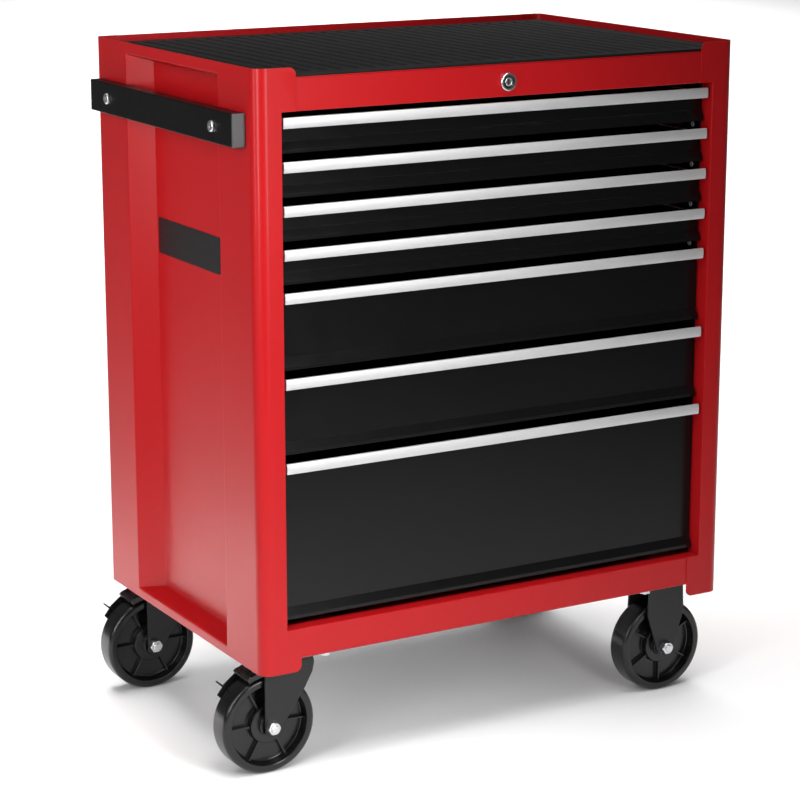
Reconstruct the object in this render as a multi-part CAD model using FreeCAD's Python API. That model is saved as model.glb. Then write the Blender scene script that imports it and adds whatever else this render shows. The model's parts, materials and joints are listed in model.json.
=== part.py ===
import FreeCAD, Part
import math
import os

# Rolling tool box: a folded-steel cabinet with seven drawers on ball-bearing slides, a side push
# handle, a keyed lock and four 125 mm casters. Millimetres.
# The dimensions below use a working frame with its origin at the lower front left corner of the
# cabinet's side panel: X to the right, Y to the back, Z up. place() moves every finished piece so
# that the row's origin is on the floor, at the middle of the whole object's footprint.

V = FreeCAD.Vector

# Cabinet shell
WIDTH = 680.0
DEPTH = 455.0
HEIGHT = 730.0
SHEET = 1.2
FRONT_RADIUS = 16.0
REAR_RADIUS = 10.0
POST_FACE = 34.0          # front flange beside the drawers
TAB_REACH = 53.0          # front flange where it laps the top and bottom rails
TAB_RADIUS = 9.0
JAMB_DEPTH = 23.0
REAR_FLANGE = 30.0
OPENING_LOW = 54.0
OPENING_HIGH = 679.0
WORKTOP_Z = 718.6
BASE_Z = 16.2             # underside of the floor pan
RAIL_RETURN = 20.0
RAIL_LIP = 7.0
REAR_GAP = 2.0 * SHEET    # side flange and back panel lie behind the worktop

# Recess pressed into each side
RECESS_DEPTH = 25.0
RECESS_FRONT = 97.0
RECESS_REAR = 362.0
RECESS_LOW = 12.5
RECESS_HIGH = 715.5
RECESS_SLOPE_Y = 32.0
RECESS_SLOPE_Z = 7.5
RECESS_BEND = 3.0         # bend radius around the recess, outside
RECESS_BEND_INSIDE = 2.0

# Rubber mat: broad ribs from front to back, with grooves between them and a flat border
MAT_MARGIN = 3.2
MAT_THICK = 3.4
MAT_BORDER = 19.0
GROOVE_COUNT = 29
GROOVE_PITCH = 21.6
GROOVE_DEPTH = 1.8
GROOVE_TOP = 11.5
GROOVE_FLOOR = 8.0

# Drawers, listed from the top as heights of their modules
MODULES = [51.5] * 4 + [103.0] * 2 + [206.0]
TOP_PULL_Z = 672.0
FRONT_EDGE_X = 36.5       # left edge of every drawer front
FRONT_Y = 20.0
TRAY_X = 48.0
TRAY_BACK = 430.0
TRAY_SHEET = 1.0
DRAWER_GAP = 8.5          # from one drawer's lower edge to the next pull's top
RIM_DROP = 5.0            # tray rim below the pull's top
KICK_HEIGHT = 10.0
KICK_FORWARD = 5.5
HEM_HEIGHT = 4.5
SHELF_DROP = 3.5
SHELF_FRONT = 8.0
CATCH_RISE = 20.0         # catch on the tray's back above the tray's floor

# Pulls
PULL_HEIGHT = 13.0
PULL_NOSE_Y = 3.5
PULL_BACK_Y = 7.6
PULL_END_X = 38.0

# Ball-bearing slides
SLIDE_X = 35.3
SLIDE_WIDTH = 12.7
SLIDE_HALF = 17.5
SLIDE_FRONT = 29.0
SLIDE_REAR = 429.0
SLIDE_SHEET = 1.2
UPRIGHT_SHEET = 1.5
UPRIGHT_FRONT = (24.0, 60.0)
UPRIGHT_REAR = (392.0, 424.0)

# Side push handle
BAR_THICK = 17.0
BAR_LOW = 638.5
BAR_HIGH = 678.0
BAR_FRONT = 24.0
BAR_REAR = 436.0
BAR_WALL = 2.0
CAP_THICK = 3.0
BAR_BOLT_INSET = 54.0
BAR_BOLT_R = 4.0
BAR_BOLT_HEAD_R = 7.0
BAR_BOLT_HEAD = 3.6

# Blank plate in the left recess
PLATE_Y = (148.0, 326.0)
PLATE_Z = (466.0, 512.0)
PLATE_THICK = 0.8

# Lock
LOCK_X = WIDTH / 2.0
LOCK_Z = 697.0
LOCK_RING_R = 11.0
LOCK_BARREL_R = 9.5
LOCK_CYLINDER_R = 7.9
LOCK_CLEARANCE = 0.05
LOCK_PROUD = 3.0
LOCK_BACK = 26.0
TAIL_R = 3.0
CRANK_RADIUS = 8.0        # the locking bar slides to the right by as much
CRANK_PIN_R = 2.0
CRANK_PIN_GAP = 2.3       # a bar that follows evenly lags the pin by up to 1.7
BAR_Y = (444.0, 447.0)
BAR_HALF = 10.0
BAR_LOWEST = 62.0
STUD_R = 3.0
STUD_HEAD_R = 6.0
STUD_X = LOCK_X + CRANK_RADIUS / 2.0
STUD_Z = (180.0, 620.0)
STUD_GAP = 0.3

# Casters
WHEEL_R = 62.5
WHEEL_WIDTH = 35.0
AXLE_R = 5.0
RUNNING = 0.05
WHEEL_PROFILE = [(AXLE_R + RUNNING, 19.0), (13.0, 19.0), (14.0, 18.0), (14.0, 14.0), (23.0, 14.0),
                 (24.0, 13.0), (25.0, 5.0), (49.0, 5.0), (50.5, 6.5), (51.5, 16.5), (52.5, WHEEL_WIDTH / 2),
                 (57.0, WHEEL_WIDTH / 2), (59.5, 16.6), (61.5, 14.6), (WHEEL_R, 11.5)]
WHEEL_RIBS = (24.0, 51.0)
WHEEL_RIB_HALF = 11.0
WHEEL_RIB_THICK = 2.4
GROUND_DROP = 140.0       # floor below the side panels' lower edge
CASTER_INSET_Y = 54.0
SWIVEL_X = 57.0
TRAIL = 30.0
FIXED_X = WIDTH - 63.0
TOP_PLATE = (105.0, 80.0, 3.0)
HOLE_SPACING = (80.0, 60.0)
PLATE_HOLE_R = 4.3
SCREW_R = 4.0
LEG_THICK = 3.0
LEG_GAP = 42.0
LEG_END_R = 12.5
CROWN_TOP = 7.5
CROWN_THICK = 4.0
CROWN_BEND = 7.0
RACE_R = 28.0
KING_R = 8.0
SCREW_ACROSS = 13.0
SCREW_HEAD = 6.5
NUT_ACROSS = 15.0
NUT_HIGH = 8.0
NUT_CHAMFER = 1.6

# Brake pedal on the swivel casters, relative to the wheel's axle
PEDAL_PIVOT = (11.0, 70.0)
PEDAL_PIN_R = 3.0
PEDAL_HUB_R = 6.0
PEDAL_CLEAR_R = 65.8
PEDAL_SIDE_GAP = 0.6
PEDAL_WING = 1.5

AXLE_Z = WHEEL_R - GROUND_DROP
LEFT_REACH = SWIVEL_X - TRAIL - WHEEL_R
ORIGIN = V((LEFT_REACH + WIDTH) / 2.0, (DEPTH - LOCK_PROUD) / 2.0, -GROUND_DROP)


def box(x0, x1, y0, y1, z0, z1):
    return Part.makeBox(x1 - x0, y1 - y0, z1 - z0, V(x0, y0, z0))


def rod_x(x0, x1, y, z, r):
    return Part.makeCylinder(r, x1 - x0, V(x0, y, z), V(1, 0, 0))


def rod_y(x, y0, y1, z, r):
    return Part.makeCylinder(r, y1 - y0, V(x, y0, z), V(0, 1, 0))


def rod_z(x, y, z0, z1, r):
    return Part.makeCylinder(r, z1 - z0, V(x, y, z0), V(0, 0, 1))


def join(shapes):
    return shapes[0].multiFuse(shapes[1:]).removeSplitter()


def closed(points):
    return Part.makePolygon(points + [points[0]])


def prism_x(outline, x0, x1):
    """Outline in (Y, Z), extruded from x0 to x1."""
    wire = closed([V(x0, y, z) for y, z in outline])
    return Part.Face(wire).extrude(V(x1 - x0, 0, 0))


def prism_y(outline, y0, y1):
    """Outline in (X, Z), extruded from y0 to y1."""
    wire = closed([V(x, y0, z) for x, z in outline])
    return Part.Face(wire).extrude(V(0, y1 - y0, 0))


def hexagon_y(x, z, across, y0, y1, face_y):
    """Hexagon along Y whose corners are turned off at face_y, one of its two ends."""
    radius = across / math.sqrt(3.0)
    points = [(x + radius * math.cos(math.pi * k / 3.0), z + radius * math.sin(math.pi * k / 3.0))
              for k in range(6)]
    turned = rod_y(x, y0, y1, z, radius + 0.1)
    rim = [e for e in turned.Edges if all(abs(v.Y - face_y) < 0.01 for v in e.Vertexes)]
    return prism_y(points, y0, y1).common(turned.makeChamfer(NUT_CHAMFER, rim))


def hexagon_z(x, y, across, z0, z1):
    radius = across / math.sqrt(3.0)
    points = [V(x + radius * math.cos(math.pi * k / 3.0), y + radius * math.sin(math.pi * k / 3.0), z0)
              for k in range(6)]
    return Part.Face(closed(points)).extrude(V(0, 0, z1 - z0))


def upright_edges(shape, x, y):
    return [edge for edge in shape.Edges
            if all(abs(v.X - x) < 0.01 and abs(v.Y - y) < 0.01 for v in edge.Vertexes)]


def mirror(shape):
    """The same piece on the cabinet's other side."""
    return shape.mirror(V(WIDTH / 2.0, 0, 0), V(1, 0, 0))


def place(shape):
    moved = shape.copy()
    moved.translate(ORIGIN * -1.0)
    return moved


def save(name, shapes):
    pieces = shapes if isinstance(shapes, list) else [shapes]
    solids = [solid for piece in pieces for solid in piece.Solids]
    for solid in solids:
        if not solid.isValid() or solid.Volume <= 0:
            raise ValueError("bad solid in " + name)
    whole = solids[0] if len(solids) == 1 else Part.makeCompound(solids)
    place(whole).exportStep("parts/" + name + ".step")


# ---------------------------------------------------------------- cabinet shell

def recess(grow):
    """The tapered pocket pressed into the left side, or its inner face when grow is a sheet."""
    depth = RECESS_DEPTH + grow
    slope = 1.15 * grow
    front, rear = RECESS_FRONT - slope, RECESS_REAR + slope
    low, high = RECESS_LOW - slope, RECESS_HIGH + slope

    def ring(x, inset_y, inset_z):
        return closed([V(x, front + inset_y, low + inset_z), V(x, rear - inset_y, low + inset_z),
                       V(x, rear - inset_y, high - inset_z), V(x, front + inset_y, high - inset_z)])

    outside = 2.0
    step_y = RECESS_SLOPE_Y / RECESS_DEPTH
    step_z = RECESS_SLOPE_Z / RECESS_DEPTH
    mouth = ring(-outside, -outside * step_y, -outside * step_z)
    floor = ring(depth, RECESS_SLOPE_Y, RECESS_SLOPE_Z)
    return Part.makeLoft([mouth, floor], True, True)


def rounded_block(inset):
    """The cabinet's left edge as a solid bar with rounded front and rear corners."""
    block = box(inset, TAB_REACH, inset, DEPTH - inset, 0, HEIGHT)
    block = block.makeFillet(FRONT_RADIUS - inset, upright_edges(block, inset, inset))
    return block.makeFillet(REAR_RADIUS - inset, upright_edges(block, inset, DEPTH - inset))


def inside_shell(inset):
    """The space between the two side panels' outer skins, drawn in by the inset."""
    edge = rounded_block(inset)
    middle = box(TAB_REACH, WIDTH - TAB_REACH, inset, DEPTH - inset, 0, HEIGHT)
    return join([edge, mirror(edge), middle])


def pressed_side(inset, bend):
    """One face of the side sheet: the rounded bar with its recess and the recess's bends."""
    block = rounded_block(inset).cut(recess(inset))
    bends = []
    for edge in block.Edges:
        a, b = edge.Vertexes[0].Point, edge.Vertexes[-1].Point
        within = RECESS_FRONT - 8 < (a.y + b.y) / 2 < RECESS_REAR + 8 and 5 < (a.z + b.z) / 2 < HEIGHT - 5
        tall = abs(a.z - b.z) > HEIGHT / 2
        level = abs(a.y - b.y) > DEPTH / 3 and abs(a.z - b.z) < 0.01
        if within and (tall or level):
            bends.append(edge)
    return block.makeFillet(bend, bends)


def side_panel():
    outer = pressed_side(0.0, RECESS_BEND)
    inner = pressed_side(SHEET, RECESS_BEND_INSIDE)
    panel = outer.cut(inner)
    panel = panel.cut(box(POST_FACE, TAB_REACH + 1, -1, JAMB_DEPTH, OPENING_LOW, OPENING_HIGH))
    panel = panel.cut(box(REAR_FLANGE, TAB_REACH + 1, DEPTH - 3 * SHEET, DEPTH + 1, -1, HEIGHT + 1))
    for z, up in ((HEIGHT, -1.0), (0.0, 1.0)):
        corner = box(TAB_REACH - TAB_RADIUS, TAB_REACH + 1, -1, 2 * SHEET, min(z, z + up * TAB_RADIUS),
                     max(z, z + up * TAB_RADIUS))
        disc = rod_y(TAB_REACH - TAB_RADIUS, -2, 3 * SHEET, z + up * TAB_RADIUS, TAB_RADIUS)
        panel = panel.cut(corner.cut(disc))
    jamb = box(POST_FACE - SHEET, POST_FACE, 0, JAMB_DEPTH, OPENING_LOW, OPENING_HIGH)
    jamb_lip = box(POST_FACE - 8.0, POST_FACE, JAMB_DEPTH - SHEET, JAMB_DEPTH, OPENING_LOW, OPENING_HIGH)
    hem = box(SHEET, 2 * SHEET, FRONT_RADIUS, DEPTH - REAR_RADIUS - 4, WORKTOP_Z, HEIGHT)
    return join([panel, jamb, jamb_lip, hem])


def drill_for_handle(panel):
    for y in handle_bolt_places():
        panel = panel.cut(rod_x(-1, 3 * SHEET, y, handle_middle(), BAR_BOLT_R + 0.3))
    return panel


def back_panel():
    lap = 10.0
    y1 = DEPTH - SHEET
    sheet = box(REAR_FLANGE - lap, WIDTH - REAR_FLANGE + lap, y1 - SHEET, y1, BASE_Z, HEIGHT)
    hem = box(REAR_FLANGE, WIDTH - REAR_FLANGE, y1 - 2 * SHEET, y1 - SHEET, WORKTOP_Z + 0.2, HEIGHT)
    ribs = [box(x, x + 40.0, y1 - SHEET - 3.0, y1 - SHEET, 60.0, 700.0) for x in (150.0, 490.0)]
    grooves = [box(x + SHEET, x + 40.0 - SHEET, y1 - 3.0, y1 + 1, 60.0 + SHEET, 700.0 - SHEET)
               for x in (150.0, 490.0)]
    panel = join([sheet, hem] + ribs + [bar_stud(z, y1 - SHEET) for z in STUD_Z])
    for groove in grooves:
        panel = panel.cut(groove)
    return panel


def bar_stud(z, y_wall):
    """Shouldered rivet in the back panel; the locking bar slides on it."""
    shoulder = rod_y(STUD_X, BAR_Y[1] + STUD_GAP, y_wall, z, STUD_HEAD_R)
    shank = rod_y(STUD_X, BAR_Y[0] - STUD_GAP, BAR_Y[1] + STUD_GAP, z, STUD_R)
    head = rod_y(STUD_X, BAR_Y[0] - STUD_GAP - 1.5, BAR_Y[0] - STUD_GAP, z, STUD_HEAD_R)
    return join([shoulder, shank, head])


def worktop():
    """Top sheet whose front edge is folded down as the rail that carries the lock."""
    margin = 2 * SHEET
    top = box(margin, WIDTH - margin, SHEET, DEPTH - REAR_GAP - SHEET, WORKTOP_Z - SHEET, WORKTOP_Z)
    top = top.common(inside_shell(SHEET))
    x0, x1 = POST_FACE, WIDTH - POST_FACE
    rail = box(x0, x1, SHEET, 2 * SHEET, OPENING_HIGH, WORKTOP_Z)
    under = box(x0, x1, SHEET, SHEET + RAIL_RETURN, OPENING_HIGH, OPENING_HIGH + SHEET)
    lip_y = SHEET + RAIL_RETURN
    lip = box(x0, x1, lip_y - SHEET, lip_y, OPENING_HIGH, OPENING_HIGH + RAIL_LIP)
    shell = join([top, rail, under, lip])
    return shell.cut(rod_y(LOCK_X, 0, 5 * SHEET, LOCK_Z, LOCK_BARREL_R + 0.2))


def base_pan():
    """Floor sheet with the bottom rail folded up along its front."""
    y_back = DEPTH - REAR_GAP
    floor = box(SHEET, WIDTH - SHEET, SHEET, y_back, BASE_Z, BASE_Z + SHEET)
    floor = floor.common(inside_shell(SHEET))
    x0, x1 = POST_FACE, WIDTH - POST_FACE
    rail = box(x0, x1, SHEET, 2 * SHEET, BASE_Z, OPENING_LOW)
    over = box(x0, x1, SHEET, SHEET + RAIL_RETURN, OPENING_LOW - SHEET, OPENING_LOW)
    rear = box(REAR_FLANGE, WIDTH - REAR_FLANGE, y_back - SHEET, y_back, BASE_Z, BASE_Z + 40.0)
    pan = join([floor, rail, over, rear])
    side = side_panel()
    pan = pan.cut(recess(SHEET)).cut(mirror(recess(SHEET))).cut(side).cut(mirror(side))
    for x, y in screw_places():
        pan = pan.cut(rod_z(x, y, BASE_Z - 1, BASE_Z + 2 * SHEET, PLATE_HOLE_R))
    return pan


def top_mat():
    y0, y1 = SHEET + 1.8, DEPTH - REAR_GAP - SHEET - 1.0
    top = WORKTOP_Z + MAT_THICK
    mat = box(MAT_MARGIN, WIDTH - MAT_MARGIN, y0, y1, WORKTOP_Z, top).common(inside_shell(MAT_MARGIN))
    for k in range(GROOVE_COUNT):
        x = WIDTH / 2.0 + (k - (GROOVE_COUNT - 1) / 2.0) * GROOVE_PITCH
        section = [(x - GROOVE_TOP / 2, top), (x - GROOVE_FLOOR / 2, top - GROOVE_DEPTH),
                   (x + GROOVE_FLOOR / 2, top - GROOVE_DEPTH), (x + GROOVE_TOP / 2, top)]
        mat = mat.cut(prism_y(section, y0 + MAT_BORDER, y1 - MAT_BORDER))
    return mat


def slide_uprights():
    """Four folded posts inside the cabinet that carry the slides."""
    posts = []
    low, high = OPENING_LOW + 2.0, OPENING_HIGH - 2.0
    for y0, y1, flange_y in ((UPRIGHT_FRONT[0], UPRIGHT_FRONT[1], UPRIGHT_FRONT[1] - UPRIGHT_SHEET),
                             (UPRIGHT_REAR[0], UPRIGHT_REAR[1], UPRIGHT_REAR[0])):
        web = box(SLIDE_X - UPRIGHT_SHEET, SLIDE_X, y0, y1, low, high)
        flange = box(SHEET, SLIDE_X, flange_y, flange_y + UPRIGHT_SHEET, low, high)
        post = join([web, flange])
        posts += [post, mirror(post)]
    return posts


# ---------------------------------------------------------------- push handle, plate and lock

def handle_middle():
    return (BAR_LOW + BAR_HIGH) / 2.0


def handle_bolt_places():
    return [BAR_FRONT + BAR_BOLT_INSET, BAR_REAR - BAR_BOLT_INSET]


def handle_section(y0, y1):
    """The bar's outer shape: a flat rectangle with eased long edges."""
    block = box(-BAR_THICK, 0, y0, y1, BAR_LOW, BAR_HIGH)
    edges = [e for e in block.Edges
             if abs(e.Vertexes[0].X + BAR_THICK) < 0.01 and abs(e.Vertexes[1].X + BAR_THICK) < 0.01
             and abs(e.Vertexes[0].Y - e.Vertexes[1].Y) > 1.0]
    return block.makeFillet(1.5, edges)


def handle_bar():
    bar = handle_section(BAR_FRONT + CAP_THICK, BAR_REAR - CAP_THICK)
    hollow = box(-BAR_THICK + BAR_WALL, -BAR_WALL, BAR_FRONT, BAR_REAR, BAR_LOW + BAR_WALL,
                 BAR_HIGH - BAR_WALL)
    bar = bar.cut(hollow)
    for y in handle_bolt_places():
        bar = bar.cut(rod_x(-BAR_THICK - 1, 1, y, handle_middle(), BAR_BOLT_R + 0.3))
    return bar


def handle_end_caps():
    caps = []
    for y0, plug in ((BAR_FRONT, (BAR_FRONT + CAP_THICK, BAR_FRONT + 15.0)),
                     (BAR_REAR - CAP_THICK, (BAR_REAR - 15.0, BAR_REAR - CAP_THICK))):
        face = handle_section(y0, y0 + CAP_THICK)
        outer_y = BAR_FRONT if y0 == BAR_FRONT else BAR_REAR
        corner = [e for e in face.Edges if all(abs(v.Y - outer_y) < 0.01 for v in e.Vertexes)]
        face = face.makeFillet(1.2, corner)
        tongue = box(-BAR_THICK + BAR_WALL + 0.3, -BAR_WALL - 0.3, plug[0], plug[1],
                     BAR_LOW + BAR_WALL + 0.3, BAR_HIGH - BAR_WALL - 0.3)
        caps.append(join([face, tongue]))
    return caps


def handle_bolts():
    """Button heads outside, nuts inside the posts."""
    bolts = []
    z = handle_middle()
    for y in handle_bolt_places():
        head = rod_x(-BAR_THICK - BAR_BOLT_HEAD, -BAR_THICK, y, z, BAR_BOLT_HEAD_R)
        rim = [e for e in head.Edges if abs(e.BoundBox.XMax + BAR_THICK + BAR_BOLT_HEAD) < 0.01]
        head = head.makeFillet(2.2, rim)
        shank = rod_x(-BAR_THICK, SHEET + 10.0, y, z, BAR_BOLT_R)
        nut = rod_x(SHEET, SHEET + 7.0, y, z, 7.5)
        socket = Part.makeCylinder(2.6, 2.4, V(-BAR_THICK - BAR_BOLT_HEAD, y, z), V(1, 0, 0))
        bolts.append(join([head, shank, nut]).cut(socket))
    return bolts


def name_plate():
    plate = box(RECESS_DEPTH - PLATE_THICK, RECESS_DEPTH, PLATE_Y[0], PLATE_Y[1], PLATE_Z[0], PLATE_Z[1])
    edges = [e for e in plate.Edges if abs(e.Vertexes[0].X - e.Vertexes[1].X) > 0.1]
    return plate.makeFillet(4.0, edges)


def lock_housing():
    ring = rod_y(LOCK_X, -LOCK_PROUD, SHEET, LOCK_Z, LOCK_RING_R)
    rim = [e for e in ring.Edges if abs(e.BoundBox.YMax + LOCK_PROUD) < 0.01]
    ring = ring.makeFillet(1.5, rim)
    barrel = rod_y(LOCK_X, 0, LOCK_BACK - 4.0, LOCK_Z, LOCK_BARREL_R)
    bore = rod_y(LOCK_X, -LOCK_PROUD - 1, LOCK_BACK, LOCK_Z, LOCK_CYLINDER_R + LOCK_CLEARANCE)
    return join([ring, barrel]).cut(bore)


def lock_cylinder():
    plug = rod_y(LOCK_X, -LOCK_PROUD + 0.8, LOCK_BACK, LOCK_Z, LOCK_CYLINDER_R)
    keyway = box(LOCK_X - 0.9, LOCK_X + 0.9, -LOCK_PROUD, 16.0, LOCK_Z - 4.2, LOCK_Z + 4.2)
    return plug.cut(keyway)


def lock_tail():
    """Long tail rod behind the cylinder, with the crank that drives the locking bar sideways."""
    rod = rod_y(LOCK_X, LOCK_BACK, 441.0, LOCK_Z, TAIL_R)
    pin_z = LOCK_Z - CRANK_RADIUS
    arm = box(LOCK_X - TAIL_R, LOCK_X + TAIL_R, 438.0, 441.0, pin_z, LOCK_Z)
    arm_end = rod_y(LOCK_X, 438.0, 441.0, pin_z, TAIL_R)
    pin = rod_y(LOCK_X, 438.0, 446.0, pin_z, CRANK_PIN_R)
    return join([rod, arm, arm_end, pin])


def lock_bar():
    """Vertical bar with one hook per drawer; it slides to the right to catch the trays."""
    slot_half = CRANK_PIN_R + CRANK_PIN_GAP
    slot_low = LOCK_Z - CRANK_RADIUS - CRANK_PIN_R - 0.5
    slot_high = LOCK_Z + CRANK_PIN_R + 0.5
    y0, y1 = BAR_Y
    bar = box(LOCK_X - BAR_HALF, LOCK_X + BAR_HALF, y0, y1, BAR_LOWEST, slot_high + 4.0)
    bar = bar.cut(box(LOCK_X - slot_half, LOCK_X + slot_half, y0 - 1, y1 + 1, slot_low, slot_high))
    reach = CRANK_RADIUS / 2.0
    width = STUD_R + STUD_GAP
    for z in STUD_Z:
        slot = box(LOCK_X - reach, LOCK_X + reach, y0 - 1, y1 + 1, z - width, z + width)
        ends = [rod_y(LOCK_X + side * reach, y0 - 1, y1 + 1, z, width) for side in (-1, 1)]
        bar = bar.cut(join([slot] + ends))
    hooks = []
    for drawer in drawers():
        z = drawer["floor"] + CATCH_RISE
        hooks.append(box(LOCK_X - 15, LOCK_X - 3, 435.0, y0, z - 9.0, z - 7.2))
        hooks.append(box(LOCK_X - 15, LOCK_X - 8, 435.0, 437.5, z - 9.0, z - 1.0))
    return join([bar] + hooks)


# ---------------------------------------------------------------- drawers and slides

def drawers():
    """Pull top, lower edge and rim of each drawer, from the top down."""
    rows = []
    top = TOP_PULL_Z
    for module in MODULES:
        rows.append({"top": top, "floor": top - module + DRAWER_GAP, "rim": top - RIM_DROP})
        top -= module
    return rows


def slide_z(drawer):
    return drawer["floor"] + 19.0


def drawer_box(drawer):
    """One folded tray: grip shelf, face, kicked lower edge, floor, sides and back."""
    t = TRAY_SHEET
    low, rim = drawer["floor"], drawer["rim"]
    shelf = drawer["top"] - SHELF_DROP
    nose = FRONT_Y - KICK_FORWARD
    kick_low = low + HEM_HEIGHT
    kick_high = kick_low + KICK_HEIGHT
    face = [(SHELF_FRONT, shelf), (SHELF_FRONT, shelf - t), (FRONT_Y, shelf - t), (FRONT_Y, kick_high),
            (nose, kick_low), (nose, low), (FRONT_Y + 8, low), (FRONT_Y + 8, low + t), (nose + t, low + t),
            (nose + t, kick_low - 0.3), (FRONT_Y + t, kick_high - 0.3), (FRONT_Y + t, shelf)]
    front = prism_x(face, FRONT_EDGE_X, WIDTH - FRONT_EDGE_X)
    floor = box(TRAY_X, WIDTH - TRAY_X, nose + t, TRAY_BACK, low, low + t)
    back = box(TRAY_X, WIDTH - TRAY_X, TRAY_BACK - t, TRAY_BACK, low, rim)
    side = box(TRAY_X, TRAY_X + t, FRONT_Y, TRAY_BACK, low, rim)
    ear = box(FRONT_EDGE_X, FRONT_EDGE_X + t, FRONT_Y, FRONT_Y + 7.0, kick_high, shelf)
    z = low + CATCH_RISE
    catch = box(LOCK_X - 5, LOCK_X + 5, TRAY_BACK - t, 441.0, z, z + 1.5)
    lip = box(LOCK_X - 5, LOCK_X + 5, 439.5, 441.0, z - 6.0, z)
    return join([front, floor, back, side, mirror(side), ear, mirror(ear), catch, lip])


def drawer_pull(drawer):
    """Full-width aluminium lip: a shallow convex nose that clips over the grip shelf's edge."""
    top, low = drawer["top"], drawer["top"] - PULL_HEIGHT
    nose, back = PULL_NOSE_Y, PULL_BACK_Y
    start = V(PULL_END_X, back, top)
    front_top = V(PULL_END_X, nose + 1.8, top)
    bulge = V(PULL_END_X, nose, top - 0.62 * PULL_HEIGHT)
    front_low = V(PULL_END_X, nose + 2.2, low)
    back_low = V(PULL_END_X, back, low + 0.8)
    clip = 3.4
    shelf = top - SHELF_DROP
    edges = [Part.LineSegment(start, front_top).toShape(),
             Part.Arc(front_top, bulge, front_low).toShape(),
             Part.LineSegment(front_low, back_low).toShape(),
             Part.LineSegment(back_low, start).toShape()]
    lip = Part.Face(Part.Wire(edges)).extrude(V(WIDTH - 2 * PULL_END_X, 0, 0))
    under = shelf - TRAY_SHEET
    tongue = box(PULL_END_X, WIDTH - PULL_END_X, back, SHELF_FRONT + clip, under - 1.2, under)
    over = box(PULL_END_X, WIDTH - PULL_END_X, back, SHELF_FRONT + clip, shelf, shelf + 1.0)
    bridge = box(PULL_END_X, WIDTH - PULL_END_X, back, SHELF_FRONT, under - 1.2, shelf + 1.0)
    return join([lip, tongue, over, bridge])


def channel(x0, depth, half, z, y0, y1, opens_right):
    """A slide member: a web with a flange above and below."""
    t = SLIDE_SHEET
    x1 = x0 + depth
    web_x = x0 if opens_right else x1 - t
    web = box(web_x, web_x + t, y0, y1, z - half, z + half)
    flanges = [box(x0, x1, y0, y1, z + half - t, z + half), box(x0, x1, y0, y1, z - half, z - half + t)]
    return join([web] + flanges)


def slide_outer(drawer):
    return channel(SLIDE_X, 9.0, SLIDE_HALF, slide_z(drawer), SLIDE_FRONT, SLIDE_REAR, True)


def slide_middle(drawer):
    member = channel(SLIDE_X + 2.2, 7.8, SLIDE_HALF - 2.6, slide_z(drawer), SLIDE_FRONT + 1.5,
                     SLIDE_REAR - 2.0, True)
    return [member, mirror(member)]


def slide_inner(drawer):
    depth = 6.6
    x0 = SLIDE_X + SLIDE_WIDTH - depth
    member = channel(x0, depth, SLIDE_HALF - 5.4, slide_z(drawer), SLIDE_FRONT + 1.0, SLIDE_REAR - 1.0,
                     False)
    return [member, mirror(member)]


# ---------------------------------------------------------------- casters

def caster_rows():
    return {"front": CASTER_INSET_Y, "rear": DEPTH - CASTER_INSET_Y}


def caster_centres():
    return [(x, y) for x in (SWIVEL_X, FIXED_X) for y in caster_rows().values()]


def screw_places():
    return [(x + sx * HOLE_SPACING[0] / 2, y + sy * HOLE_SPACING[1] / 2)
            for x, y in caster_centres() for sx in (-1, 1) for sy in (-1, 1)]


def top_plate(x, y):
    size_x, size_y, thick = TOP_PLATE
    plate = box(x - size_x / 2, x + size_x / 2, y - size_y / 2, y + size_y / 2, BASE_Z - thick, BASE_Z)
    plate = plate.makeFillet(8.0, [e for e in plate.Edges
                                   if abs(e.Vertexes[0].Z - e.Vertexes[1].Z) > thick / 2])
    for px, py in screw_places():
        plate = plate.cut(rod_z(px, py, BASE_Z - thick - 1, BASE_Z + 1, PLATE_HOLE_R))
    return plate


def caster_screws():
    screws = []
    under = BASE_Z - TOP_PLATE[2]
    for x, y in screw_places():
        head = hexagon_z(x, y, SCREW_ACROSS, under - SCREW_HEAD, under)
        shank = rod_z(x, y, under - 1.0, BASE_Z + SHEET + 8.0, SCREW_R)
        nut = hexagon_z(x, y, SCREW_ACROSS, BASE_Z + SHEET, BASE_Z + SHEET + 6.0)
        screws.append(join([head, shank, nut]))
    return screws


def swivel_top_plate(y):
    """Plate with the upper race and the kingpin."""
    gap = 0.5
    race = rod_z(SWIVEL_X, y, CROWN_TOP + gap, BASE_Z - TOP_PLATE[2], RACE_R)
    king = rod_z(SWIVEL_X, y, -1.0, BASE_Z - TOP_PLATE[2], KING_R)
    foot = rod_z(SWIVEL_X, y, -4.0, CROWN_TOP - CROWN_THICK - gap, KING_R + 4.0)
    return join([top_plate(SWIVEL_X, y), race, king, foot])


def leg_outline(points, axle_x):
    """A fork leg in (X, Z): the given upper corners, then a round end about the axle."""
    right, left = points[0], points[-1]

    def tangent(corner, side):
        dx, dz = corner[0] - axle_x, corner[1] - AXLE_Z
        reach = math.hypot(dx, dz)
        angle = math.atan2(dz, dx) - side * math.acos(LEG_END_R / reach)
        return axle_x + LEG_END_R * math.cos(angle), AXLE_Z + LEG_END_R * math.sin(angle)

    a, b = tangent(right, 1.0), tangent(left, -1.0)
    lowest = (axle_x, AXLE_Z - LEG_END_R)
    edges = []
    path = [a] + points + [b]
    for p, q in zip(path, path[1:]):
        edges.append(Part.LineSegment(V(p[0], 0, p[1]), V(q[0], 0, q[1])).toShape())
    edges.append(Part.Arc(V(b[0], 0, b[1]), V(lowest[0], 0, lowest[1]), V(a[0], 0, a[1])).toShape())
    return Part.Wire(edges)


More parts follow.
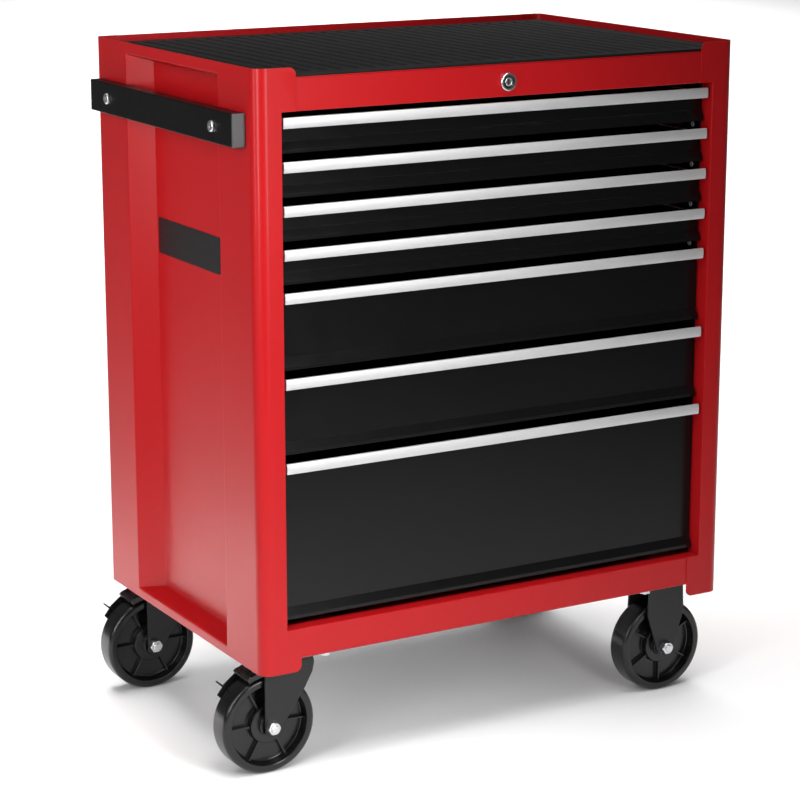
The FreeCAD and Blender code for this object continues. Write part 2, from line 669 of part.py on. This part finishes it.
def legs(points, axle_x, y):
    """Both legs of a fork, drilled for the axle."""
    pair = []
    for y0 in (y - LEG_GAP / 2 - LEG_THICK, y + LEG_GAP / 2):
        leg = Part.Face(leg_outline(points, axle_x)).extrude(V(0, LEG_THICK, 0))
        leg.translate(V(0, y0, 0))
        pair.append(leg.cut(rod_y(axle_x, y0 - 1, y0 + LEG_THICK + 1, AXLE_Z, AXLE_R)))
    return pair


def swivel_fork(y):
    """Crown under the top plate, with two legs that trail to the axle."""
    axle_x = SWIVEL_X - TRAIL
    half = LEG_GAP / 2 + LEG_THICK
    under = CROWN_TOP - CROWN_THICK
    rear, front = axle_x + 57.0, axle_x - 8.0
    points = [(axle_x + 45.0, AXLE_Z + 42.0), (rear - 0.5, -14.6), (rear + 2.0, -3.0), (rear, CROWN_TOP),
              (front, CROWN_TOP), (front, -6.0)]
    slab = box(front, rear, y - half, y + half, under, CROWN_TOP)
    bent = box(front - 1, rear + 3, y - half, y + half, 2 * AXLE_Z, CROWN_TOP)
    bent = bent.makeFillet(CROWN_BEND, [e for e in bent.Edges if e.BoundBox.ZMin > CROWN_TOP - 1
                                        and e.BoundBox.XMax - e.BoundBox.XMin > 1])
    fork = join([slab] + legs(points, axle_x, y)).common(bent)
    fork = fork.cut(rod_z(SWIVEL_X, y, under - 1, CROWN_TOP + 1, KING_R + RUNNING))
    pivot_x, pivot_z = axle_x + PEDAL_PIVOT[0], AXLE_Z + PEDAL_PIVOT[1]
    return fork.cut(rod_y(pivot_x, y - half - 1, y + half + 1, pivot_z, PEDAL_PIN_R))


def fixed_fork(y):
    """One pressed fork whose top is the mounting plate."""
    wide, narrow = 29.0, 27.0
    low = -30.0
    top = BASE_Z - TOP_PLATE[2]
    points = [(FIXED_X + wide, low), (FIXED_X + narrow, top + 0.5), (FIXED_X - narrow, top + 0.5),
              (FIXED_X - wide, low)]
    return join([top_plate(FIXED_X, y)] + legs(points, FIXED_X, y))


def axle(x, y):
    """Bolt with its head at the back and its nut at the front."""
    half = LEG_GAP / 2 + LEG_THICK
    nut_end, head_end = y - half - NUT_HIGH, y + half + NUT_HIGH - 1.5
    nut = hexagon_y(x, AXLE_Z, NUT_ACROSS, nut_end, y - half, nut_end)
    head = hexagon_y(x, AXLE_Z, NUT_ACROSS, y + half, head_end, head_end)
    shank = rod_y(x, nut_end - 2.0, y + half + 1.0, AXLE_Z, AXLE_R)
    tip = [e for e in shank.Edges if all(abs(v.Y - nut_end + 2.0) < 0.01 for v in e.Vertexes)]
    return join([nut, head, shank.makeChamfer(0.8, tip)])


def swivel_axle(y):
    """Wheel axle and the brake's pivot pin of one swivel caster."""
    half = LEG_GAP / 2 + LEG_THICK
    axle_x = SWIVEL_X - TRAIL
    pin = rod_y(axle_x + PEDAL_PIVOT[0], y - half - 1.0, y + half + 1.0, AXLE_Z + PEDAL_PIVOT[1], PEDAL_PIN_R)
    return [axle(axle_x, y), pin]


def wheel(x, y, turn):
    """Ribbed wheel: crowned tread, recessed web with six ribs a side, and a stepped hub."""
    upper = [V(r, s, 0) for r, s in WHEEL_PROFILE]
    lower = [V(r, -s, 0) for r, s in reversed(WHEEL_PROFILE)]
    body = Part.Face(closed(upper + lower)).revolve(V(0, 0, 0), V(0, 1, 0), 360)
    ribs = []
    for k in range(6):
        rib = box(WHEEL_RIBS[0], WHEEL_RIBS[1], -WHEEL_RIB_HALF, WHEEL_RIB_HALF, -WHEEL_RIB_THICK / 2,
                  WHEEL_RIB_THICK / 2)
        rib.rotate(V(0, 0, 0), V(0, 1, 0), turn + 60.0 * k)
        ribs.append(rib)
    whole = join([body] + ribs)
    whole.translate(V(x, y, AXLE_Z))
    return whole


def brake_pedal(y):
    """Foot pedal close over the trailing wheel, with a release tab behind the wheel."""
    axle_x = SWIVEL_X - TRAIL
    half = LEG_GAP / 2 - PEDAL_SIDE_GAP
    pivot_x, pivot_z = axle_x + PEDAL_PIVOT[0], AXLE_Z + PEDAL_PIVOT[1]

    def polar(radius, degrees):
        angle = math.radians(degrees)
        return axle_x + radius * math.cos(angle), AXLE_Z + radius * math.sin(angle)

    outline = [(pivot_x, pivot_z + PEDAL_HUB_R), (axle_x - 9.0, AXLE_Z + 74.0), polar(73.0, 113.0),
               polar(71.5, 115.5), polar(60.0, 115.0), polar(59.0, 96.0), (pivot_x, pivot_z - PEDAL_HUB_R)]
    block = prism_y(outline, y - half, y + half)
    hub = rod_y(pivot_x, y - half, y + half, pivot_z, PEDAL_HUB_R)
    wheel_room = rod_y(axle_x, y - half - 1.0, y + half - PEDAL_WING, AXLE_Z, PEDAL_CLEAR_R)
    arm = prism_y([polar(59.0, 96.0), polar(69.0, 112.0), polar(66.5, 130.0), polar(65.0, 145.0),
                   polar(55.0, 147.0), polar(50.0, 118.0)], y + half - PEDAL_WING, y + half)
    tab = prism_y([polar(56.0, 131.0), polar(72.0, 133.2), polar(72.0, 134.8), polar(56.0, 134.5)],
                  y + half - PEDAL_WING, y + half + 9.0)
    pedal = join([block, hub]).cut(wheel_room)
    pedal = join([pedal, arm, tab])
    return pedal.cut(rod_y(pivot_x, y - half - 1, y + half + 1, pivot_z, PEDAL_PIN_R + RUNNING))


# ---------------------------------------------------------------- write the pieces

def main():
    os.makedirs("parts", exist_ok=True)
    save("side_panel_left", drill_for_handle(side_panel()))
    save("side_panel_right", mirror(side_panel()))
    save("back_panel", back_panel())
    save("worktop", worktop())
    save("base_pan", base_pan())
    save("top_mat", top_mat())
    save("slide_uprights", slide_uprights())
    save("handle_bar", handle_bar())
    save("handle_end_caps", handle_end_caps())
    save("handle_bolts", handle_bolts())
    save("name_plate", name_plate())
    save("lock_housing", lock_housing())
    save("lock_cylinder", lock_cylinder())
    save("lock_tail", lock_tail())
    save("lock_bar", lock_bar())
    outers = [slide_outer(drawer) for drawer in drawers()]
    save("slide_outer_left", outers)
    save("slide_outer_right", [mirror(member) for member in outers])
    for number, drawer in enumerate(drawers(), start=1):
        name = "drawer_%d" % number
        save(name + "_box", drawer_box(drawer))
        save(name + "_pull", drawer_pull(drawer))
        save(name + "_slide_inner", slide_inner(drawer))
        save(name + "_slide_middle", slide_middle(drawer))
    save("caster_screws", caster_screws())
    save("swivel_top_plates", [swivel_top_plate(y) for y in caster_rows().values()])
    save("fixed_axles", [axle(FIXED_X, y) for y in caster_rows().values()])
    for row, y in caster_rows().items():
        save("fixed_fork_" + row, fixed_fork(y))
        save("swivel_fork_" + row, swivel_fork(y))
        save("swivel_axle_" + row, swivel_axle(y))
        save("brake_pedal_" + row, brake_pedal(y))
        save("wheel_left_" + row, wheel(SWIVEL_X - TRAIL, y, 0.0))
        save("wheel_right_" + row, wheel(FIXED_X, y, 30.0))


if __name__ == "__main__":
    main()
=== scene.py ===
import json
import math

import bmesh
import bpy
from mathutils import Matrix, Quaternion, Vector


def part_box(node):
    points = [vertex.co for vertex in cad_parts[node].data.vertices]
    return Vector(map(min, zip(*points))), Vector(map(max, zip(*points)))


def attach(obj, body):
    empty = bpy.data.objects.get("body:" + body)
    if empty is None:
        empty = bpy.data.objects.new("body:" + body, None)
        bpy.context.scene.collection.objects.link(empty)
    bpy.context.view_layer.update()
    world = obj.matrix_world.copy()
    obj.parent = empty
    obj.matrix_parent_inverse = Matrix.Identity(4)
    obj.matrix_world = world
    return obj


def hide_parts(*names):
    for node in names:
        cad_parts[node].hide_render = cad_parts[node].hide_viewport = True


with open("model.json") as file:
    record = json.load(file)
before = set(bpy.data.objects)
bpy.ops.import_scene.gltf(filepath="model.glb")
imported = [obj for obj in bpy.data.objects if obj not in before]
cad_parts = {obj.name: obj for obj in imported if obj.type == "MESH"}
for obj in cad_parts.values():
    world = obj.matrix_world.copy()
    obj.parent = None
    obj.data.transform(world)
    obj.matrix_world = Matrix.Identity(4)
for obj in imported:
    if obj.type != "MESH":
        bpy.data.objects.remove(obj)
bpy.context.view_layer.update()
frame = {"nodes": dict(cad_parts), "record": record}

# The looks of the rolling tool box. Metres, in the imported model's frame: the origin is on the floor
# under the middle of the whole object's box, X to the right, Y to the back, Z up.

NODES = frame["nodes"]
BODY_OF = {node: body for body, members in frame["record"]["behaviour"]["bodies"].items()
           for node in members}
SLOT_OF = {part["node"]: part["material_slot"] for part in frame["record"]["subparts"]}
MM = 0.001
DRAWERS = range(1, 8)
SHALLOW_DRAWERS = range(1, 5)

# where a ramp starts and ends within the range of a noise, which lies mostly near 0.5
MOST = (0.3, 0.7)
NEARLY_ALL = (0.25, 0.75)

# the colour sockets of a Mix node, whose names are the same as those of its other kinds
MIX_A, MIX_B, MIX_RESULT = 6, 7, 2

# distances and angles of the work on meshes
SAME_PLACE = 1e-6               # a CAD mesh's vertices that are nearer than this are one
SAME_PLACE_TURNED = 1e-7        # the same for a turned mesh
SLIVER = 2e-6                   # edges shorter than this are taken out after bevelling
FLAT_DEGREES = 1.0              # faces that meet at less than this are one
CREASE_DEGREES = 48.0           # shading breaks at an edge sharper than this
CREASE_DEGREES_TURNED = 50.0
FOLD_LENGTH = 200.0 * MM        # an edge in the front plane that is longer than this is a fold
FRONT_PLANE = 0.3 * MM          # how far behind a node's foremost point its front plane reaches
NOSE_DEPTH = 2.6 * MM           # how far behind a pull's foremost point its bulge reaches


# ---------------------------------------------------------------- node materials

class Material:
    """A Principled material with short calls for the nodes that give it its detail."""

    def __init__(self, name, **settings):
        self.material = bpy.data.materials.new(name)
        self.material.use_nodes = True
        self.tree = self.material.node_tree
        self.shader = self.tree.nodes["Principled BSDF"]
        for socket, value in settings.items():
            self.shader.inputs[socket.replace("_", " ")].default_value = value

    def node(self, kind, **values):
        made = self.tree.nodes.new("ShaderNode" + kind)
        for key, value in values.items():
            if key in made.inputs:
                made.inputs[key].default_value = value
            else:
                setattr(made, key, value)
        return made

    def link(self, source, target):
        self.tree.links.new(source, target)

    def place(self, scale=(1.0, 1.0, 1.0)):
        """Object coordinates, scaled along each axis."""
        mapping = self.node("Mapping")
        mapping.inputs["Scale"].default_value = scale
        self.link(self.node("TexCoord").outputs["Object"], mapping.inputs["Vector"])
        return mapping.outputs["Vector"]

    def noise(self, size, detail=3.0, roughness=0.5, stretch=(1.0, 1.0, 1.0)):
        """Noise whose grains are about size metres across."""
        texture = self.node("TexNoise", Scale=1.0 / size, Detail=detail, Roughness=roughness)
        self.link(self.place(stretch), texture.inputs["Vector"])
        return texture.outputs["Fac"]

    def ramp(self, source, low, high, span=MOST):
        """A colour or grey value that goes from low to high while the source crosses the span."""
        made = self.node("ValToRGB")
        for element, place, value in zip(made.color_ramp.elements, span, (low, high)):
            colour = value if isinstance(value, tuple) else (value, value, value)
            element.position = place
            element.color = (*colour, 1.0)
        self.link(source, made.inputs["Fac"])
        return made.outputs["Color"]

    def colour(self, source):
        self.link(source, self.shader.inputs["Base Color"])

    def rough(self, source):
        self.link(source, self.shader.inputs["Roughness"])

    def bump(self, height, depth):
        made = self.node("Bump", Strength=1.0, Distance=depth)
        self.link(height, made.inputs["Height"])
        self.link(made.outputs["Normal"], self.shader.inputs["Normal"])


def powder_coat(name, dark, light, rough, grain, depth, **settings):
    """Powder coat: slow drift of colour, cloudy gloss and a fine orange-peel skin."""
    m = Material(name, **settings)
    m.colour(m.ramp(m.noise(size=0.18, detail=4.0), dark, light))
    m.rough(m.ramp(m.noise(size=0.02, detail=5.0, roughness=0.6), *rough, span=NEARLY_ALL))
    m.bump(m.noise(size=grain, detail=2.0), depth)
    return m


def red_coat(name):
    return powder_coat(name, dark=(0.385, 0.0055, 0.0075), light=(0.400, 0.006, 0.0085),
                       rough=(0.30, 0.34), grain=0.0014, depth=0.000004,
                       Coat_Weight=0.12, Coat_Roughness=0.10, Specular_IOR_Level=0.22)


def red_paint():
    return red_coat("red_powder_coat")


def red_paint_over_primer():
    """The red coat of the base pan, whose downward faces carry only a pale grey primer."""
    m = red_coat("red_coat_over_primer")
    axes = m.node("SeparateXYZ")
    m.link(m.node("NewGeometry").outputs["Normal"], axes.inputs["Vector"])
    down = m.node("Math", operation="MULTIPLY")
    m.link(axes.outputs["Z"], down.inputs[0])
    down.inputs[1].default_value = -1.0
    below = m.ramp(down.outputs["Value"], 0.0, 1.0, span=(0.55, 0.75))
    primer = m.ramp(m.noise(size=0.01, detail=4.0), (0.40, 0.40, 0.41), (0.47, 0.46, 0.47),
                    span=(0.3, 0.75))
    mixed = m.node("Mix", data_type="RGBA")
    m.link(below, mixed.inputs["Factor"])
    m.link(m.shader.inputs["Base Color"].links[0].from_socket, mixed.inputs[MIX_A])
    m.link(primer, mixed.inputs[MIX_B])
    m.colour(mixed.outputs[MIX_RESULT])
    return m


def drawer_paint():
    return powder_coat("black_powder_coat",
                       dark=(0.0026, 0.0025, 0.0027), light=(0.0034, 0.0033, 0.0035),
                       rough=(0.20, 0.25), grain=0.0008, depth=0.000006,
                       Specular_IOR_Level=0.28)


def caster_paint():
    return powder_coat("black_caster_paint",
                       dark=(0.010, 0.0098, 0.0100), light=(0.014, 0.0138, 0.0140),
                       rough=(0.30, 0.42), grain=0.0012, depth=0.00002,
                       Specular_IOR_Level=0.35)


def handle_paint():
    return powder_coat("black_handle_paint",
                       dark=(0.0026, 0.0026, 0.0028), light=(0.0036, 0.0036, 0.0038),
                       rough=(0.30, 0.38), grain=0.0008, depth=0.000008,
                       Specular_IOR_Level=0.14)


def moulded_plastic(name, dark, light, rough, grain, depth, **settings):
    """Moulded plastic or rubber: fine cast grain over faint flow marks."""
    m = Material(name, **settings)
    m.colour(m.ramp(m.noise(size=0.03, detail=4.0), dark, light))
    m.rough(m.ramp(m.noise(size=0.006, detail=4.0, roughness=0.6), *rough, span=NEARLY_ALL))
    m.bump(m.noise(size=grain, detail=3.0, roughness=0.55), depth)
    return m


def rubber_mat():
    return moulded_plastic("ribbed_rubber",
                           dark=(0.0075, 0.0075, 0.0078), light=(0.0110, 0.0110, 0.0113),
                           rough=(0.5, 0.62), grain=0.0007, depth=0.00004,
                           Specular_IOR_Level=0.13)


def handle_plastic():
    return moulded_plastic("cap_plastic",
                           dark=(0.045, 0.045, 0.046), light=(0.055, 0.055, 0.056),
                           rough=(0.4, 0.5), grain=0.0005, depth=0.00003)


def plate_black():
    return moulded_plastic("plate_black",
                           dark=(0.006, 0.006, 0.0065), light=(0.008, 0.008, 0.0085),
                           rough=(0.3, 0.38), grain=0.0005, depth=0.00001)


def pedal_plastic():
    return moulded_plastic("pedal_plastic",
                           dark=(0.0050, 0.0050, 0.0054), light=(0.0075, 0.0075, 0.0080),
                           rough=(0.24, 0.32), grain=0.0009, depth=0.000008)


def wheel_rubber():
    return moulded_plastic("wheel_plastic",
                           dark=(0.0040, 0.0040, 0.0044), light=(0.0060, 0.0060, 0.0064),
                           rough=(0.20, 0.28), grain=0.0009, depth=0.000006,
                           Specular_IOR_Level=0.45)


def pull_aluminium():
    """Anodised aluminium with fine lines drawn along X."""
    m = Material("anodised_aluminium", Metallic=1.0, Anisotropic=0.2)
    lines = m.noise(size=0.0006, detail=2.0, roughness=0.6, stretch=(0.004, 1.0, 1.0))
    m.colour(m.ramp(lines, (0.65, 0.65, 0.655), (0.73, 0.73, 0.735)))
    m.rough(m.ramp(lines, 0.60, 0.70, span=NEARLY_ALL))
    m.bump(lines, depth=0.000006)
    return m


def zinc(name, rough):
    """Bright zinc plate: bluish, with the patches of its crystals."""
    m = Material(name, Metallic=1.0)
    cells = m.node("TexVoronoi", Scale=400.0)
    m.link(m.place(), cells.inputs["Vector"])
    m.colour(m.ramp(cells.outputs["Distance"], (0.60, 0.61, 0.63), (0.72, 0.73, 0.74),
                    span=(0.0, 0.8)))
    m.rough(m.ramp(m.noise(size=0.003, detail=4.0), *rough))
    m.bump(m.noise(size=0.0008), depth=0.00001)
    return m


def slide_steel():
    return zinc("slide_zinc", rough=(0.22, 0.36))


def zinc_steel():
    return zinc("bright_zinc", rough=(0.26, 0.40))


def lock_chrome():
    m = Material("polished_chrome", Metallic=1.0)
    m.colour(m.ramp(m.noise(size=0.01, detail=2.0), (0.78, 0.79, 0.80), (0.84, 0.84, 0.85)))
    m.rough(m.ramp(m.noise(size=0.002, detail=4.0), 0.05, 0.11))
    return m


# each of these functions has the name of the record's slot that its material fills
MATERIALS = {maker.__name__: maker().material for maker in (
    red_paint, drawer_paint, pull_aluminium, rubber_mat, handle_paint, handle_plastic, zinc_steel,
    plate_black, lock_chrome, slide_steel, caster_paint, pedal_plastic, wheel_rubber)}


def give_material(obj, material):
    obj.data.materials.clear()
    obj.data.materials.append(material)


for node, obj in NODES.items():
    give_material(obj, MATERIALS[SLOT_OF[node]])


# ---------------------------------------------------------------- tools for meshes

def piece(name, mesh, body, slot, node=None):
    """A new object that rides on a body, and stands for a CAD node where one is named."""
    made = bpy.data.objects.new(name, mesh)
    bpy.context.scene.collection.objects.link(made)
    give_material(made, MATERIALS[slot])
    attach(made, body)
    if node:
        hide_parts(node)
    return made


def sharp_edges(b, degrees):
    return [e for e in b.edges
            if len(e.link_faces) == 2 and e.calc_face_angle(0.0) > math.radians(degrees)]


def bevelled(b, edges, width, segments):
    bmesh.ops.bevel(b, geom=edges, offset=width, offset_type="OFFSET", segments=segments,
                    profile=0.5, affect="EDGES", clamp_overlap=False)


def smooth_shaded(b, crease_degrees):
    """Smooth shading that breaks at the edges sharper than crease_degrees."""
    for face in b.faces:
        face.smooth = True
    for edge in sharp_edges(b, crease_degrees):
        edge.smooth = False


def softened(node, width, shortest, fold=0.0, degrees=35.0, flatten=1.0, slot=None,
             slivers=False):
    """A copy of a node whose sharp edges are slightly rounded, as on folded sheet and mouldings.

    Edges shorter than shortest stay as they are, and so do edges that bend by less than degrees.
    The long edges in the node's front plane are folds, which are rounder and get the width fold.
    flatten scales how far the front bulges. slot stands in for the node's own finish. slivers
    keeps the bevels' tiny faces, where taking them out would open the mesh.
    """
    mesh = NODES[node].data.copy()
    for name in ("custom_normal", "sharp_edge", "sharp_face"):
        if name in mesh.attributes:
            mesh.attributes.remove(mesh.attributes[name])
    b = bmesh.new()
    b.from_mesh(mesh)
    bmesh.ops.remove_doubles(b, verts=b.verts[:], dist=SAME_PLACE)
    bmesh.ops.dissolve_limit(b, angle_limit=math.radians(FLAT_DEGREES), verts=b.verts[:],
                             edges=b.edges[:])
    foremost = min(v.co.y for v in b.verts)
    if flatten < 1.0:
        for v in b.verts:
            if v.co.y < foremost + NOSE_DEPTH:
                v.co.y = foremost + flatten * (v.co.y - foremost)
    if fold:
        folds = [e for e in sharp_edges(b, degrees)
                 if e.is_convex and e.calc_length() > FOLD_LENGTH
                 and max(v.co.y for v in e.verts) < foremost + FRONT_PLANE]
        bevelled(b, folds, fold, segments=3)
    rest = [e for e in sharp_edges(b, degrees) if e.calc_length() > shortest]
    bevelled(b, rest, width, segments=2)
    if not slivers:
        bmesh.ops.dissolve_degenerate(b, dist=SLIVER, edges=b.edges[:])
    smooth_shaded(b, CREASE_DEGREES)
    b.to_mesh(mesh)
    b.free()
    made = piece(node + "_soft", mesh, BODY_OF[node], slot or SLOT_OF[node], node)
    weighted = made.modifiers.new("even_shading", "WEIGHTED_NORMAL")
    weighted.keep_sharp = True
    return made


def lathe(profile, centre, segments=64):
    """A closed profile of (radius, y) points turned about an axis along Y."""
    mesh = bpy.data.meshes.new("turned")
    b = bmesh.new()
    rings = []
    for k in range(segments):
        angle = 2.0 * math.pi * k / segments
        rings.append([b.verts.new((centre.x + r * math.cos(angle), y,
                                   centre.z + r * math.sin(angle))) for r, y in profile])
    for k in range(segments):
        here, there = rings[k], rings[(k + 1) % segments]
        for i in range(len(profile)):
            j = (i + 1) % len(profile)
            b.faces.new((here[i], there[i], there[j], here[j]))
    bmesh.ops.remove_doubles(b, verts=b.verts[:], dist=SAME_PLACE_TURNED)
    bmesh.ops.recalc_face_normals(b, faces=b.faces[:])
    smooth_shaded(b, CREASE_DEGREES_TURNED)
    b.to_mesh(mesh)
    b.free()
    return mesh


def cut_box(obj, name, centre, size):
    """Cuts a box out of a piece for good."""
    cutter = bpy.data.objects.new(name, bpy.data.meshes.new(name))
    b = bmesh.new()
    bmesh.ops.create_cube(b, size=1.0)
    for v in b.verts:
        v.co = Vector(middle + along * side for middle, along, side in zip(centre, v.co, size))
    b.to_mesh(cutter.data)
    b.free()
    bpy.context.scene.collection.objects.link(cutter)
    cut = obj.modifiers.new(name, "BOOLEAN")
    cut.operation, cut.solver, cut.object = "DIFFERENCE", "EXACT", cutter
    graph = bpy.context.evaluated_depsgraph_get()
    mesh = bpy.data.meshes.new_from_object(obj.evaluated_get(graph))
    obj.modifiers.clear()
    obj.data = mesh
    bpy.data.objects.remove(cutter)


# ---------------------------------------------------------------- pieces

def lock_front():
    """The cylinder's front: a shroud ring whose black is a painted dark reflection round the rotor,
    and a rotor with a rolled rim and a keyway.
    """
    low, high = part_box("lock_cylinder")
    centre = (low + high) / 2.0
    front, back, radius = low.y, high.y, (high.x - low.x) / 2.0
    face, shoulder = front + 0.5 * MM, front + 2.6 * MM
    rotor = [(0.0, back), (radius, back), (radius, shoulder), (5.3 * MM, shoulder),
             (5.3 * MM, front + 0.6 * MM), (5.1 * MM, front + 0.2 * MM), (4.7 * MM, front),
             (4.2 * MM, front), (3.9 * MM, front + 0.15 * MM), (3.7 * MM, face), (0.0, face)]
    turned = piece("lock_rotor", lathe(rotor, centre), "lock_cylinder", "lock_chrome",
                   "lock_cylinder")
    cut_box(turned, "keyway", centre=(centre.x, front + 3.0 * MM, centre.z),
            size=(1.5 * MM, 8.0 * MM, 6.2 * MM))
    # the shroud's black plastic is painted reflection: it stands in for the darkness mirrored in the
    # ring round the rotor
    shroud = [(5.5 * MM, shoulder), (radius, shoulder), (radius, face),
              (7.5 * MM, front + 0.2 * MM), (7.1 * MM, front + 0.3 * MM),
              (5.9 * MM, front + 1.3 * MM), (5.5 * MM, front + 1.7 * MM)]
    piece("lock_shroud", lathe(shroud, centre), "lock_cylinder", "pedal_plastic")


def slide_rivets():
    """Hollow rivets in the slide posts, which show in the gaps between the shallow drawers."""
    sunk = -0.2 * MM
    head = [(1.5 * MM, sunk), (1.5 * MM, 0.9 * MM), (1.9 * MM, 1.2 * MM), (2.6 * MM, 1.1 * MM),
            (3.3 * MM, 0.6 * MM), (3.4 * MM, sunk)]
    behind_post_edge, below_drawer = 14.0 * MM, 7.0 * MM
    left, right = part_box("slide_outer_left")[0].x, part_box("slide_outer_right")[1].x
    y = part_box("slide_uprights")[0].y + behind_post_edge
    b = bmesh.new()
    for number in SHALLOW_DRAWERS:
        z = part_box("drawer_%d_box" % number)[0].z - below_drawer
        for x, turn in ((left, -90.0), (right, 90.0)):
            mesh = lathe(head, Vector(), segments=32)
            mesh.transform(Matrix.Translation((x, y, z))
                           @ Matrix.Rotation(math.radians(turn), 4, "Z"))
            b.from_mesh(mesh)
            bpy.data.meshes.remove(mesh)
    mesh = bpy.data.meshes.new("slide_rivets")
    b.to_mesh(mesh)
    b.free()
    piece("slide_rivets", mesh, "cabinet", "pull_aluminium")


def pieces():
    for node in ("side_panel_left", "side_panel_right"):
        softened(node, width=0.35 * MM, shortest=12.0 * MM, fold=2.2 * MM, slivers=True)
    softened("worktop", width=0.35 * MM, shortest=6.0 * MM, fold=1.2 * MM)
    pan = softened("base_pan", width=0.35 * MM, shortest=6.0 * MM, fold=1.2 * MM)
    over_primer = red_paint_over_primer().material
    for obj in (NODES["base_pan"], pan):
        give_material(obj, over_primer)
    softened("back_panel", width=0.4 * MM, shortest=6.0 * MM)
    # the slide posts take the drawers' black coat, which makes them dark in the gaps beside the
    # drawers
    softened("slide_uprights", width=0.3 * MM, shortest=6.0 * MM, slot="drawer_paint")
    softened("handle_bar", width=0.8 * MM, shortest=3.0 * MM)
    softened("top_mat", width=0.6 * MM, shortest=1.5 * MM)
    for number in DRAWERS:
        softened("drawer_%d_box" % number, width=0.3 * MM, shortest=2.0 * MM, degrees=20.0)
        softened("drawer_%d_pull" % number, width=0.45 * MM, shortest=1.1 * MM, flatten=0.4)
    for end in ("front", "rear"):
        for kind in ("fixed_fork_", "swivel_fork_", "brake_pedal_"):
            softened(kind + end, width=0.5 * MM, shortest=1.5 * MM)
        for side in ("left", "right"):
            softened("wheel_%s_%s" % (side, end), width=0.6 * MM, shortest=1.2 * MM,
                     degrees=40.0)
    lock_front()
    slide_rivets()


# ---------------------------------------------------------------- floor, light and camera

FLOOR_RADIUS = 40.0
AMBIENT = 0.10

# name, place, the point that it faces, width and height, watts, spread and turn in degrees
SOFTBOXES = (
    ("strip_left", (-1.41, -0.92, 1.0), (-0.3, -0.2, 0.5), (0.3, 1.2), 11.6, 180.0, 0.0),
    ("strip_side", (-1.43, -0.22, 1.05), (-0.31, 0.12, 0.75), (0.2, 1.2), 1.8, 70.0, 0.0),
    ("strip_front", (-0.05, -1.40, 1.0), (-0.45, -0.2, 0.5), (0.3, 1.2), 4.3, 75.0, 0.0),
    ("over_front", (-0.25, -0.95, 2.0), (-0.25, -0.85, 0.0), (1.2, 0.7), 5.8, 70.0, 0.0),
    ("overhead", (0.1, -0.1, 2.6), (0.1, -0.1, 0.0), (2.8, 2.8), 6.0, 50.0, 0.0),
    ("floor_left", (-0.75, 0.4, 1.5), (-0.75, 0.4, 0.0), (0.45, 0.9), 3.0, 40.0, -30.0),
    ("floor_behind", (1.3, 2.1, 2.0), (1.3, 2.1, 0.0), (2.5, 4.2), 54.0, 84.0, -30.0),
    ("floor_far", (4.0, 7.4, 3.2), (4.0, 7.4, 0.0), (4.5, 8.0), 285.0, 130.0, -30.0),
)

CAMERA_PLACE = (-1.584, -2.751, 1.177)
CAMERA_TURN = math.radians(29.9)    # from Y towards X
CAMERA_TILT = math.radians(13.8)    # down from level
CAMERA_SENSOR, CAMERA_LENS = 36.0, 111.7
CAMERA_REACH = 200.0


def stage_material():
    m = Material("studio_floor", Specular_IOR_Level=0.2)
    m.colour(m.ramp(m.noise(size=0.6), 0.90, 0.92))
    m.rough(m.ramp(m.noise(size=0.05), 0.7, 0.8))
    return m.material


def studio_floor():
    mesh = bpy.data.meshes.new("studio_floor")
    b = bmesh.new()
    bmesh.ops.create_circle(b, cap_ends=True, segments=96, radius=FLOOR_RADIUS)
    b.to_mesh(mesh)
    b.free()
    mesh.materials.append(stage_material())
    floor = bpy.data.objects.new("studio_floor", mesh)
    bpy.context.scene.collection.objects.link(floor)


def softbox(name, place, aim, size, power, spread, turn):
    """A rectangular light that faces aim; a small spread stands for a grid in front of it."""
    data = bpy.data.lights.new(name, "AREA")
    data.shape = "RECTANGLE"
    data.size, data.size_y = size
    data.energy = power
    data.spread = math.radians(spread)
    light = bpy.data.objects.new(name, data)
    light.location = place
    facing = (Vector(aim) - Vector(place)).to_track_quat("-Z", "Y")
    about_its_axis = Quaternion((0.0, 0.0, 1.0), math.radians(turn))
    light.rotation_euler = (facing @ about_its_axis).to_euler()
    light.visible_camera = False
    bpy.context.scene.collection.objects.link(light)


def studio_light():
    """Upright strips at the left and the front, and boxes above the object and above the floor.

    The world adds a dim white light from all sides.
    """
    world = bpy.data.worlds.new("studio")
    bpy.context.scene.world = world
    world.use_nodes = True
    background = world.node_tree.nodes["Background"]
    background.inputs["Color"].default_value = (1.0, 1.0, 1.0, 1.0)
    background.inputs["Strength"].default_value = AMBIENT
    for row in SOFTBOXES:
        softbox(*row)


def camera():
    """A long lens from the left front, above the cabinet's top."""
    data = bpy.data.cameras.new("camera")
    data.sensor_width = CAMERA_SENSOR
    data.lens = CAMERA_LENS
    data.clip_end = CAMERA_REACH
    made = bpy.data.objects.new("camera", data)
    made.location = CAMERA_PLACE
    ahead = Vector((math.sin(CAMERA_TURN) * math.cos(CAMERA_TILT),
                    math.cos(CAMERA_TURN) * math.cos(CAMERA_TILT),
                    -math.sin(CAMERA_TILT)))
    made.rotation_euler = ahead.to_track_quat("-Z", "Y").to_euler()
    bpy.context.scene.collection.objects.link(made)
    bpy.context.scene.camera = made


pieces()
studio_floor()
studio_light()
camera()

bpy.context.scene.view_settings.view_transform = "Standard"
